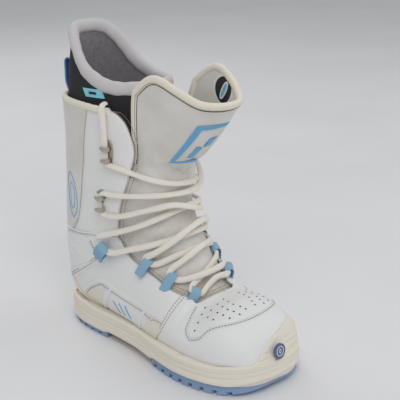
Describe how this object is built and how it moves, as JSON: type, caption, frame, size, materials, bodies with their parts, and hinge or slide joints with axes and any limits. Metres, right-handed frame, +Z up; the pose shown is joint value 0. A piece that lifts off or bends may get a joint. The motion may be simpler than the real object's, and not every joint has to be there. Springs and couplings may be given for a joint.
{
  "type": "snowboard boot",
  "caption": "Lace-up snowboard boot for the right foot with cupped rubber sole, hooked cuff, flared tongue, removable fleece-lined liner and a pull loop.",
  "frame": {"origin": "on the floor, under the middle of the whole boot's box", "axes": "+Z up, toe towards -Y, heel towards +Y, outer side of the right foot towards -X"},
  "size_m": [0.1194, 0.2909, 0.3214],
  "materials": {
    "rubber_blue": "matte moulded rubber",
    "foxing_cream": "smooth moulded rubber",
    "badge_navy": "satin",
    "shank_plate": "brushed",
    "board": "matte",
    "foam": "matte foam",
    "upper_white": "smooth coated leather",
    "upper_cream": "smooth coated leather",
    "binding_cream": "woven binding",
    "badge_blue": "matte print",
    "label": "woven label",
    "liner_black": "matte synthetic",
    "fleece_grey": "brushed fleece",
    "metal_nickel": "antiqued nickel",
    "webbing_blue": "woven webbing",
    "webbing_white": "woven webbing",
    "lace_cream": "braided lace"
  },
  "bodies": {
    "lower": {"ankle_loop_lateral": "webbing_blue", "ankle_loop_medial": "webbing_blue", "ankle_strap_lateral": "upper_white", "ankle_strap_medial": "upper_white", "footbed": "foam", "heel_cap": "foxing_cream", "heel_cushion": "foam", "lace_loop_lateral_1": "webbing_blue", "lace_loop_lateral_2": "webbing_blue", "lace_loop_lateral_3": "webbing_blue", "lace_loop_medial_1": "webbing_blue", "lace_loop_medial_2": "webbing_blue", "lace_loop_medial_3": "webbing_blue", "lace_lower": "lace_cream", "lasting_board": "board", "liner_foot": "liner_black", "midsole": "foxing_cream", "outsole_forefoot": "rubber_blue", "outsole_heel": "rubber_blue", "quarter_lateral": "upper_white", "quarter_medial": "upper_white", "shank": "shank_plate", "side_window_lateral": "upper_cream", "side_window_medial": "upper_cream", "toe_badge": "badge_navy", "toe_bumper": "foxing_cream", "toe_panel": "upper_white", "tongue_lower": "upper_white", "vamp": "upper_white"},
    "cuff": {"cuff_lateral": "upper_white", "cuff_medial": "upper_white", "backstay": "upper_white", "collar_binding": "binding_cream", "liner_cuff": "liner_black", "liner_collar": "fleece_grey", "tongue_middle": "upper_white", "hook_lateral_lower": "metal_nickel", "hook_lateral_upper": "metal_nickel", "hook_medial_lower": "metal_nickel", "hook_medial_upper": "metal_nickel", "hook_rivets": "metal_nickel", "lace_upper_lateral": "lace_cream", "lace_upper_medial": "lace_cream"},
    "tongue": {"tongue_upper": "upper_white", "tongue_binding": "binding_cream", "tongue_badge": "badge_blue", "tongue_label": "label"},
    "heel_loop": {"heel_pull_loop": "webbing_white"}
  },
  "joints": [
    {"name": "ankle_flex", "type": "hinge", "parent": "lower", "child": "cuff", "pos_m": [0, 0.0585, 0.104], "axis": [1, 0, 0], "range_deg": [-3, 4], "stiffness_Nm_per_rad": 60},
    {"name": "tongue_fold", "type": "hinge", "parent": "cuff", "child": "tongue", "pos_m": [0, -0.0015, 0.186], "axis": [1, 0, 0], "range_deg": [0, 12], "stiffness_Nm_per_rad": 1},
    {"name": "loop_tilt", "type": "hinge", "parent": "cuff", "child": "heel_loop", "pos_m": [0, 0.1445, 0.2536], "axis": [-1, 0, 0], "range_deg": [0, 35], "stiffness_Nm_per_rad": 0.06}
  ]
}
